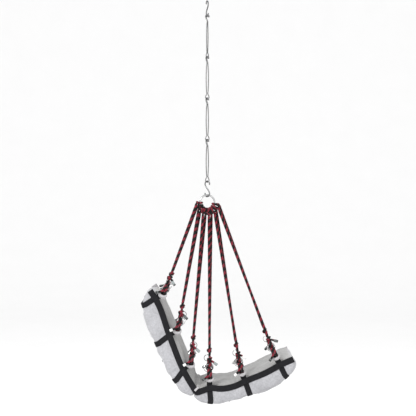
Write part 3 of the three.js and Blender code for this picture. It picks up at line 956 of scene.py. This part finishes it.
def relax(piece, rounds, share=0.5):
    """Smooths a mesh by moving each vertex towards the middle of its neighbours."""
    edges = np.array([e.vertices[:] for e in piece.data.edges])
    co = coordinates(piece)
    count = np.bincount(edges.ravel(), minlength=len(co))[:, None]
    for _ in range(rounds):
        total = np.zeros_like(co)
        np.add.at(total, edges[:, 0], co[edges[:, 1]])
        np.add.at(total, edges[:, 1], co[edges[:, 0]])
        co += share * (total / np.maximum(count, 1) - co)
    move_to(piece, co)


def apply_all(piece):
    """Bakes a piece's modifiers into its mesh."""
    bpy.context.view_layer.update()
    done = bpy.data.meshes.new_from_object(piece.evaluated_get(bpy.context.evaluated_depsgraph_get()))
    piece.modifiers.clear()
    old = piece.data
    piece.data = done
    bpy.data.meshes.remove(old)


def lumps(co, stretch, size, amount, seed):
    """How far (m) smooth noise pushes points outwards."""
    push = [noise.noise(Vector((x / size + seed, y / size, z / size - seed))) for x, y, z in co * stretch]
    return amount * np.array(push)


def cushion(panel):
    """A stuffed felt cover, pulled in where the straps cross it."""
    start = closed_even(inset(OUTLINES[panel], CUSHION["inset"]), CUSHION["step"])
    verts, faces = block(start, HALF_WIDTH - CUSHION["side_inset"], CUSHION["rim"])
    piece = build(f"{panel}_cushion", verts, faces, [FELT_SIDE, FELT_FACE], "chair", "felt",
                  replaces=[f"{panel}_cover"])
    remesh = piece.modifiers.new("voxels", "REMESH")
    remesh.mode = "VOXEL"
    remesh.voxel_size = CUSHION["voxel"]
    apply_all(piece)
    relax(piece, 2)
    grip = held(coordinates(piece) / MM, panel)
    swell(piece, grip, CUSHION["cap"])
    relax(piece, 2, 0.4)
    smoother = piece.modifiers.new("finer", "SUBSURF")
    smoother.levels = smoother.render_levels = 1
    apply_all(piece)
    co = coordinates(piece)
    normal = np.array([v.normal for v in piece.data.vertices], float)
    free = 1 - 0.8 * held(co / MM, panel)
    away = np.clip(holder_distance(co / MM, panel) - HOLD["full"], 0, CROWN["far"])
    crown = CROWN["height"] * MM * (1 - np.exp(-((away / CROWN["reach"]) ** CROWN["power"])))
    lumpy = sum(lumps(co, *kind) for kind in LUMPS)
    move_to(piece, co + normal * (lumpy * free + crown)[:, None])
    piece.data.polygons.foreach_set("use_smooth", [True] * len(piece.data.polygons))
    facing = np.array([p.center[:] + p.normal[:] for p in piece.data.polygons])
    piece.data.polygons.foreach_set("material_index", sitter_side(facing, panel).astype(np.int32))
    piece.data.update()
    return piece


def sitter_side(facing, panel):
    """1 where a cushion's face (centre in m, normal) belongs to the panel that the sitter touches."""
    flat_normal = facing[:, [3, 5]]
    if panel == "back":
        toward = flat_normal @ BACK_OUT
    else:
        rise = np.clip((facing[:, 0] - SITTER["from"]) / SITTER["over"], 0, 1)
        slope = rise * math.radians(SITTER["lean"])
        toward = -flat_normal[:, 0] * np.sin(slope) + flat_normal[:, 1] * np.cos(slope)
    return (toward > SITTER["facing"]) & (np.abs(facing[:, 4]) < SITTER["sideways"])


cushions = {panel: cushion(panel) for panel in ("back", "seat")}


def foam_core(panel):
    """The firm foam block inside a cover."""
    outline = closed_even(inset(OUTLINES[panel], CORE["inset"]), CORE["step"])
    verts, faces = block(outline, HALF_WIDTH - CORE["inset"], CORE["rim"])
    piece = build(f"{panel}_foam_core", verts, faces, [FOAM], "chair", "foam", replaces=[f"{panel}_foam"])


for panel_name in cushions:
    foam_core(panel_name)

# ---------------------------------------------------------------- webbing over the cushions


def surface_of(pieces):
    """One search tree (m) over the faces of several pieces."""
    verts, faces = [], []
    for piece in pieces:
        start = len(verts)
        verts += [v.co[:] for v in piece.data.vertices]
        faces += [[start + i for i in p.vertices] for p in piece.data.polygons]
    return bvhtree.BVHTree.FromPolygons(verts, faces)


def neighbours(grid):
    """A grid's rows before and after each row, its ends repeated."""
    return np.concatenate([grid[:1], grid[:-1]]), np.concatenate([grid[1:], grid[-1:]])


def smoothed(grid, rounds):
    """A grid's rows, averaged over and over with the rows beside them."""
    for _ in range(rounds):
        before, after = neighbours(grid)
        grid = 0.5 * grid + 0.25 * (before + after)
    return grid


SINK = 0.7  # how far a strap's edge can lie below its highest line


def laid(tree, origins, inward, known, bridge=2, reach=75):
    """Where rays from a grid of origins (mm) meet a surface: tight webbing bridges dips and bare parts."""
    depth = np.full(origins.shape[:2], np.nan)
    for i, j in np.ndindex(depth.shape):
        if known[i]:
            hit = tree.ray_cast(Vector(origins[i, j] * MM), Vector(inward[i, j]), reach * MM)
            if hit[3] is not None:
                depth[i, j] = hit[3] / MM
    rows = np.arange(len(depth))
    for column in depth.T:
        found = ~np.isnan(column)
        column[~found] = np.interp(rows[~found], rows[found], column[found])
    for _ in range(bridge):
        before, after = neighbours(depth)
        depth = np.minimum(depth, np.minimum(before, after))
    depth = smoothed(depth, 4)
    depth = np.minimum(depth, depth.min(axis=1, keepdims=True) + SINK)
    return origins + inward * depth[..., None]


def slab(name, under, outward, thick, materials, body, slot, **more):
    """A closed strip: its underside's grid of points (mm), the way out at each, and its thickness."""
    n, m = under.shape[:2]
    crown = thick * np.clip(0.5 + 0.5 * np.minimum(np.arange(m), np.arange(m)[::-1]), 0, 1)
    over = under + outward * crown[None, :, None]
    verts = np.vstack([under.reshape(-1, 3), over.reshape(-1, 3)])
    at = np.arange(n * m).reshape(n, m)
    low = np.stack([at[:-1, :-1], at[1:, :-1], at[1:, 1:], at[:-1, 1:]], axis=-1).reshape(-1, 4)
    border = np.concatenate([at[:, 0], at[-1, 1:], at[-2::-1, -1], at[0, -2:0:-1]])
    after = np.roll(border, -1)
    wall = np.column_stack([border, after, after + n * m, border + n * m])
    faces = np.vstack([low, low[:, ::-1] + n * m, wall])
    run = travelled(under[:, m // 2])
    place = np.column_stack([np.repeat(run * MM, m), np.tile(np.linspace(0, 1, m), n)])
    uvs = np.vstack([place, place])[faces.ravel()]
    piece = build(name, verts, faces.tolist(), materials, body, slot, uvs=uvs, **more)
    face_out(piece)
    return piece


def face_out(piece):
    """Turns a closed mesh's faces outwards."""
    made = bmesh.new()
    made.from_mesh(piece.data)
    bmesh.ops.recalc_face_normals(made, faces=made.faces)
    made.to_mesh(piece.data)
    made.free()


STAND = 30  # how far outside the covers the rays start
LIFT = 0.2  # how far a strap lies off what is under it
LINING = {"rows": 8, "below": 0.3, "thick": 2.6}
ACROSS = np.linspace(-0.5, 0.5, 7)


def quarter(v):
    """A plane direction turned a quarter of a circle."""
    return np.array([-v[1], v[0]])


GUIDE = {"rim": 20, "step": 5, "turn": 10, "back_step": 7.5, "under": 4, "known": 12}


def cross_guide(name):
    """Stations along half of a cross strap, from its neck to the middle of the outer face.

    Each is its centre, the way out, the way across and whether the cushion lies under it.
    """
    panel, inner, normal, foot, out = strap_points(name)
    rim = GUIDE["rim"]
    pivot = foot - rim * out
    across = quarter(unit(pivot - inner))
    along_edge = quarter(out)
    along_edge *= np.sign(along_edge @ across)
    lean = quarter(normal) * np.sign(quarter(normal) @ across)
    neck = STAND_OFF[panel] - LOOP["half_height"] + GUIDE["under"]
    stations = []

    def add(centre, way, side, known):
        stations.append(
            ([centre[0], centre[2], centre[1]], [way[0], way[2], way[1]], [side[0], 0, side[1]], known)
        )

    def flat(xz, y):
        return (xz[0], xz[1], y)

    for rise in np.arange(neck, 0, -GUIDE["step"]):
        add(flat(inner + rise * normal, -HALF_WIDTH - STAND), (0, 0, -1), unit(lean), False)
    length = np.linalg.norm(pivot - inner)
    for down in np.arange(0, length, GUIDE["step"]):
        place = inner + (pivot - inner) * down / length
        add(flat(place, -HALF_WIDTH - STAND), (0, 0, -1), across, down > GUIDE["known"])
    for turn in np.radians(np.arange(0, 90, GUIDE["turn"])):
        way = np.array([*(math.sin(turn) * out), -math.cos(turn)])
        centre = np.array([*pivot, rim - HALF_WIDTH]) + (rim + STAND) * way
        share = turn / (math.pi / 2)
        add(centre, way, unit(across * (1 - share) + along_edge * share), True)
    for y in np.arange(rim - HALF_WIDTH, 1, GUIDE["back_step"]):
        add(flat(foot + STAND * out, y), (*out, 0), along_edge, True)
    return stations


def cross_strap(name):
    """A cross strap, from felt loop to felt loop around the outside of its cushion."""
    stations = cross_guide(name)
    half = [np.array([s[k] for s in stations], float) for k in range(3)]
    known = np.array([s[3] for s in stations])
    mirror = np.array([1, -1, 1])
    centre, out, side = (np.vstack([part, part[-2::-1] * mirror]) for part in half)
    known = np.concatenate([known, known[-2::-1]])
    origins = centre[:, None, :] + ACROSS[None, :, None] * WEB["cross"] * side[:, None, :]
    outward = np.repeat(out[:, None, :], len(ACROSS), axis=1)
    under = laid(TREES[name.split("_")[0]], origins, -outward, known) + LIFT * outward
    return slab(f"cross_strap_{name}_web", under, outward, WEB["thick"], [WEBBING], "chair", "webbing",
                replaces=[f"cross_strap_{name}"])


TREES = {key: surface_of([piece]) for key, piece in cushions.items()}
cross_straps = [cross_strap(strap) for strap in NAMES]


STITCH = {"pitch": 4.2, "length": 3.2, "half": 0.5, "rise": 0.6, "sunk": 0.3, "margin": 11.5, "box": 9}
STITCH_FACES = [(0, 2, 4), (2, 1, 4), (1, 3, 4), (3, 0, 4), (2, 0, 5), (1, 2, 5), (3, 1, 5), (0, 3, 5)]
RAY = 0.09  # how far (m) a search for the surface below goes


def thread(name, rows, out, tree):
    """Rows of stitches (polylines in mm) laid on the surface below them."""
    verts, faces = [], []
    out = np.asarray(out, float)
    for row in rows:
        path = even(row, STITCH["pitch"])
        for a, b in zip(path, path[1:]):
            middle, way = (a + b) / 2, unit(b - a)
            hit = tree.ray_cast(Vector((middle + STAND * out) * MM), Vector(-out), RAY)
            if hit[3] is None:
                continue
            centre, side = np.array(hit[0]) / MM, np.cross(out, way)
            start, reach = len(verts), STITCH["length"] / 2
            ways = (reach * way, STITCH["half"] * side)
            verts += [centre - ways[0], centre + ways[0], centre + ways[1], centre - ways[1]]
            verts += [centre + STITCH["rise"] * out, centre - STITCH["sunk"] * out]
            faces += [[start + i for i in face] for face in STITCH_FACES]
    piece = build(name, verts, faces, [THREAD], "chair", "webbing")
    face_out(piece)


def crossing(name):
    """Where a cross strap passes under the side strap, in X and Z."""
    _, inner, _, foot, _ = strap_points(name)
    line = even([inner, foot], 1)
    return line[np.argmin(line_distance(line, STRAP_LINE))]


def sewn(side, strap, line, across):
    """The stitching of a side strap: a row along each edge, and a crossed box over each cross strap."""
    sign = SIDES[side]
    out = np.array([0, sign, 0])
    tree = surface_of([strap])
    rows = [line[2:-2] + k * STITCH["margin"] * across[2:-2] for k in (-1, 1)]
    thread(f"side_strap_{side}_edge_stitches", rows, out, tree)
    boxes = []
    for name in NAMES:
        near = np.argmin(np.linalg.norm(line[:, [0, 2]] - crossing(name), axis=1))
        a, b = STITCH["box"] * across[near], STITCH["box"] * np.cross(across[near], out)
        middle = line[near]
        corners = [middle - a - b, middle + a - b, middle + a + b, middle - a + b]
        boxes += [corners + corners[:1], [corners[0], corners[2]], [corners[1], corners[3]]]
    thread(f"side_strap_{side}_box_stitches", boxes, out, tree)


def side_strap(side):
    """A long strap down the side of the back and along the seat, laid over the cross straps."""
    sign = SIDES[side]
    line = np.insert(np.vstack([spline(STRAP_DOWN, 6), spline(STRAP_ALONG, 6)]), 1, 0, axis=1)
    line = smoothed(even(line, 6), 3)
    way = np.gradient(line, axis=0)
    way /= np.linalg.norm(way, axis=1)[:, None]
    across = np.column_stack([-way[:, 2], np.zeros(len(way)), way[:, 0]])
    out = np.array([0, sign, 0])
    centre = line + out * (HALF_WIDTH + STAND)
    origins = centre[:, None, :] + ACROSS[None, :, None] * WEB["width"] * across[:, None, :]
    outward = np.broadcast_to(out, origins.shape).astype(float)
    under = laid(EVERYTHING, origins, -outward, np.ones(len(line), bool), bridge=3) + LIFT * outward
    strap = slab(f"side_strap_{side}_web", under, outward, WEB["thick"], [WEBBING], "chair", "webbing",
                 replaces=[f"side_strap_{side}"])
    sewn(side, strap, line + out * HALF_WIDTH, across)
    for end, rows in (("top", slice(0, LINING["rows"])), ("front", slice(-LINING["rows"], None))):
        inward = -outward[rows]
        slab(f"side_strap_{side}_{end}_lining", under[rows] + LINING["below"] * inward, inward,
             LINING["thick"], [FELT_LOOP], "chair", "felt")


EVERYTHING = surface_of([*cushions.values(), *cross_straps])
for leg_side in SIDES:
    side_strap(leg_side)


TONGUE = {"back": 2, "seat": 1}  # how far the felt reaches down the strap's neck
HOLE = {"half_width": 15, "half_height": 9.4, "rise": 3.4}
LOOP_SIDES = 40
# A felt loop's section: the share of the way from the hole to the rim, and of half its depth.
LOOP_PROFILE = [(0, -0.8), (0.12, -0.97), (0.5, -1.03), (0.88, -0.97), (1, -0.8), (1.03, 0), (1, 0.8),
                (0.88, 0.97), (0.5, 1.03), (0.12, 0.97), (0, 0.8), (-0.02, 0)]


def felt_loop(name, side):
    """The padded loop at a cross strap's end: thick felt with webbing inside, heavier below its hole."""
    leg = LEGS[name][side]
    turn = np.linspace(0, 2 * math.pi, LOOP_SIDES, endpoint=False)
    circle = disc(1, LOOP_SIDES)
    hole = circle * [HOLE["half_width"], HOLE["half_height"]] + [0, HOLE["rise"]]
    rim = circle * [LOOP["half_width"], LOOP["half_height"]]
    panel, _, normal, _, _ = strap_points(name)
    toward = -np.array([leg.w, leg.u]) @ [normal[0], 0, normal[1]]
    facing = np.clip(rim @ unit(toward) / np.linalg.norm(rim, axis=1), 0, 1)
    rim += TONGUE[panel] * (facing**2)[:, None] * unit(toward)
    rings = []
    for share, depth in LOOP_PROFILE:
        puff = 1 + 0.03 * np.sin(3 * turn + len(name)) * (share > 0.8)
        ring = (hole + share * (rim - hole)) * puff[:, None]
        rings.append(leg(np.insert(ring, 1, depth * LOOP["depth"] / 2, axis=1)))
    count = len(LOOP_PROFILE)
    faces = grid_faces(count, LOOP_SIDES, closed=True).tolist()
    picks = np.repeat(np.arange(count) >= count - 2, LOOP_SIDES)
    uvs = [(0.1 * (i % LOOP_SIDES) / LOOP_SIDES, 0.5) for face in faces for i in face]
    piece = build(f"felt_loop_{name}_{side}", np.vstack(rings), faces, [FELT_LOOP, WEBBING], "chair", "felt",
                  uvs=uvs, picks=picks)
    face_out(piece)


for strap in NAMES:
    for leg_side in SIDES:
        felt_loop(strap, leg_side)

# ---------------------------------------------------------------- zips


TAPE = {"width": 16, "thick": 1.3, "sunk": 0.9, "step": 6, "end": 4}
TOOTH = {"pitch": 2.6, "shift": 0.7, "foot": (0.8, 2.2, 0.5), "head": (0.5, 1.8, 1.9)}
TOOTH_FACES = [(0, 1, 2, 3), (4, 7, 6, 5), (0, 4, 5, 1), (1, 5, 6, 2), (2, 6, 7, 3), (3, 7, 4, 0)]
# A slider's body: places along it and its width there, as a share of its section.
SLIDER_SHELL = [(-6.5, 0.9), (-6, 1.15), (-2, 1.05), (2, 0.9), (5.5, 0.75), (6.5, 0.5)]
SLIDER = {"half_width": 3.3, "half_height": 2.3, "rise": 2.6, "from_end": 14}
PULL = {"place": 9, "half_length": 10, "half_width": 2.8, "rise": 5.9, "droop": 0.9, "wire": 0.8}
SEARCH = 0.08  # how far (m) a ray looks for a cushion's face


def squarish(radius, wave, power):
    """A sine or cosine flattened, so that a circle becomes a rounded rectangle."""
    return radius * math.copysign(abs(wave) ** power, wave)


def slotted(name, place, normal, panel):
    """A zip's tape, its row of teeth and its slider with a wire pull."""
    tangent = quarter(normal)
    ys = np.arange(TAPE["end"] - ZIP["length"] / 2, ZIP["length"] / 2 - TAPE["end"] + 1, TAPE["step"])
    out = np.array([normal[0], 0, normal[1]])
    across = np.array([tangent[0], 0, tangent[1]])
    origins = [[place[0], y, place[1]] + STAND * out + TAPE["width"] * a * across for y in ys for a in ACROSS]
    origins = np.array(origins).reshape(len(ys), len(ACROSS), 3)
    hits = [TREES[panel].ray_cast(Vector(o * MM), Vector(-out), SEARCH) for o in origins[:, 3]]
    depth = [hit[3] or STAND * MM for hit in hits]
    height = STAND - np.percentile(depth, 12) / MM
    middle = np.array([place[0], 0, place[1]]) + (height - 0.6) * out
    under = origins - (STAND - height + TAPE["sunk"]) * out
    outward = np.broadcast_to(out, under.shape).astype(float)
    slab(f"{name}_tape", under, outward, TAPE["thick"], [ZIP_TAPE], "chair", "zip", replaces=[name])
    verts, faces = [], []
    for count, y in enumerate(np.arange(ys[0] + TAPE["end"], ys[-1] - TAPE["end"] + 1, TOOTH["pitch"])):
        shift = TOOTH["shift"] if count % 2 else -TOOTH["shift"]
        faces += [[len(verts) + i for i in face] for face in TOOTH_FACES]
        for half_length, half_width, rise in (TOOTH["foot"], TOOTH["head"]):
            for dy, da in ((-1, -1), (1, -1), (1, 1), (-1, 1)):
                corner = [0, y + dy * half_length, 0] + (da * half_width + shift) * across
                verts.append(middle + corner + rise * out)
    teeth = build(f"{name}_teeth", verts, faces, [ZIP_TEETH], "chair", "zip", smooth=False)
    face_out(teeth)
    slide = f"{panel}_slider"
    rest = middle + [0, SLIDER["from_end"] - ZIP["length"] / 2, 0]
    path = np.array([rest + [0, y, 0] + SLIDER["rise"] * out for y, _ in SLIDER_SHELL])
    section = [(squarish(SLIDER["half_width"], x, 0.5), squarish(SLIDER["half_height"], z, 0.6))
               for x, z in disc(1, 24)]
    frames = np.tile(across, (len(path), 1)), np.tile(out, (len(path), 1))
    sweep(f"{name}_slider_body", path, section, [STEEL], slide, "slider", scale=[k for _, k in SLIDER_SHELL],
          across=frames, replaces=[f"{name}_slider"])
    pull = np.array([
        rest + [0, PULL["place"] + PULL["half_length"] * y, 0]
        + squarish(PULL["half_width"], x, 0.5) * across
        + (PULL["rise"] - PULL["droop"] * (1 - y)) * out for y, x in disc(1, 32)
    ])
    sweep(f"{name}_slider_pull", pull, disc(PULL["wire"], 10), [STEEL], slide, "slider", closed=True)


for panel_name in cushions:
    slotted(f"{panel_name}_zip", *zip_line(panel_name), panel_name)

# ---------------------------------------------------------------- seams and the crease


SEAT_RIM = [(-34, -1934), (10, -1925), (75, -1927), (130, -1917), (190, -1890), (280, -1852), (350, -1814),
            (394, -1792)]
BACK_RIM = np.arange(20, 500, 8)  # places along the back's face
PIPING = 1.7


def welt(panel, side):
    """Piping along the seam between a cushion's side wall and the face that the sitter touches; its paler
    felt is a painted highlight along the fold.
    """
    sign = SIDES[side]
    if panel == "back":
        rim = [on_back((s, 0)) for s in BACK_RIM]
        out = np.tile(BACK_OUT, (len(rim), 1))
    else:
        outline = OUTLINES["seat"]
        rim = [on_outline(outline, np.array([x, z])) for x, z in spline(SEAT_RIM, 8)]
        out = np.array([normal for _, normal in rim])
        rim = [place for place, _ in rim]
    way = np.column_stack([out[:, 0], np.full(len(out), sign), out[:, 1]]) / math.sqrt(2)
    start = np.column_stack([np.array(rim)[:, 0], np.full(len(out), sign * HALF_WIDTH), np.array(rim)[:, 1]])
    line = []
    for place, direction in zip(start, way):
        hit = TREES[panel].ray_cast(Vector((place + STAND * direction) * MM), Vector(-direction), SEARCH)
        if hit[3] is not None:
            line.append(np.array(hit[0]) / MM)
    path, scale = rounded(even(smoothed(np.array(line), 3), 4), PIPING, 1)
    sweep(f"{panel}_welt_{side}", path, disc(PIPING, 10), [WELT_FELT_PAINTED_HIGHLIGHT], "chair", "felt", scale=scale)


for panel_name in cushions:
    for leg_side in SIDES:
        welt(panel_name, leg_side)


GUSSET = {"place": (-47.0, -1939.0), "half_width": 16, "half_height": 11, "lean": -35, "step": 7, "inset": 6,
          "end": (12, 7)}
TAB = {"width": 10, "thick": 1.4, "across": (0.72, 0, -0.69)}
TAB_LINE = [(-44, 250.5, -1934), (-50, 251.5, -1940), (-56, 252, -1946), (-62, 251.5, -1952)]


def crease_gusset():
    """The felt fold that joins the two covers along the crease on the sitter's side."""
    ys = np.arange(GUSSET["inset"] - HALF_WIDTH, HALF_WIDTH - GUSSET["inset"] + 1, GUSSET["step"])
    x, z = GUSSET["place"]
    path = np.column_stack([np.full(len(ys), x), ys, z + 1.2 * np.sin(ys / 23) + 0.8 * np.sin(ys / 9.1)])
    section = [(GUSSET["half_width"] * x * (1 + 0.2 * x * y), GUSSET["half_height"] * y)
               for x, y in disc(1, 28)]
    lean = math.radians(GUSSET["lean"])
    path, scale = rounded(path, *GUSSET["end"])
    across = np.tile([math.cos(lean), 0, math.sin(lean)], (len(path), 1))
    upward = np.tile([-math.sin(lean), 0, math.cos(lean)], (len(path), 1))
    piece = sweep("crease_gusset", path, section, [FELT_FACE], "chair", "felt", scale=scale,
                  across=(across, upward))


def crease_tab(side):
    """A small folded tab of pale tape sewn in at each end of the crease."""
    sign = SIDES[side]
    out = np.array([0, sign, 0])
    line = spline(np.array(TAB_LINE) * [1, sign, 1], 2)
    under = line[:, None, :] + ACROSS[None, :, None] * TAB["width"] * unit(TAB["across"])
    slab(f"crease_tab_{side}", under, np.broadcast_to(out, under.shape).astype(float), TAB["thick"],
         [FELT_LOOP], "chair", "felt")


crease_gusset()
for leg_side in SIDES:
    crease_tab(leg_side)

# ---------------------------------------------------------------- stage


def flat_material(name, color, roughness):
    look = Look(name, roughness, Specular_IOR_Level=0.1)
    look.color(look.ramp(look.noise(look.place(), 3, 2), [(0.3, [c * 0.99 for c in color]), (0.7, color)]))
    return look.material


PAPER = {"floor": -2300, "front": -14000, "wall": 14000, "top": 9000, "bend": 5000, "half_width": 16000}
LIGHTS = [  # name, place, aim, size, power
    ("key", (-2.6, -4.4, 2.2), (0.1, 0, -1.6), 1.8, 265),
    ("fill", (3.5, -4.5, -0.4), (0, 0, -1.6), 3.0, 35),
]


def studio():
    """A pale floor that curves up into a backdrop, and soft light from the camera's side."""
    bend = PAPER["bend"]
    curve = [(PAPER["wall"] - bend * (1 - math.sin(t)), PAPER["floor"] + bend * (1 - math.cos(t)))
             for t in np.radians(np.linspace(0, 90, 24))]
    profile = [(PAPER["front"], PAPER["floor"]), *curve, (PAPER["wall"], PAPER["top"])]
    verts = [(x, y, z) for y, z in profile for x in (-PAPER["half_width"], PAPER["half_width"])]
    faces = [(2 * i, 2 * i + 1, 2 * i + 3, 2 * i + 2) for i in range(len(profile) - 1)]
    mesh = bpy.data.meshes.new("floor")
    mesh.from_pydata([tuple(c * MM for c in v) for v in verts], [], faces)
    mesh.polygons.foreach_set("use_smooth", [True] * len(faces))
    mesh.materials.append(flat_material("floor_paper", (0.93, 0.93, 0.93), 0.9))
    floor = bpy.data.objects.new("floor", mesh)
    bpy.context.scene.collection.objects.link(floor)
    bpy.context.scene.view_settings.view_transform = "Standard"
    world = bpy.data.worlds.new("studio")
    world.use_nodes = True
    world.node_tree.nodes["Background"].inputs["Color"].default_value = (1, 1, 1, 1)
    world.node_tree.nodes["Background"].inputs["Strength"].default_value = 1.0
    bpy.context.scene.world = world
    for name, place, aim, size, power in LIGHTS:
        light = bpy.data.lights.new(name, "AREA")
        light.shape = "DISK"
        light.size = size
        light.energy = power
        lamp = bpy.data.objects.new(name, light)
        bpy.context.scene.collection.objects.link(lamp)
        lamp.location = place
        lamp.rotation_euler = (Vector(aim) - Vector(place)).to_track_quat("-Z", "Y").to_euler()


studio()

# ---------------------------------------------------------------- the end

bpy.context.view_layer.update()
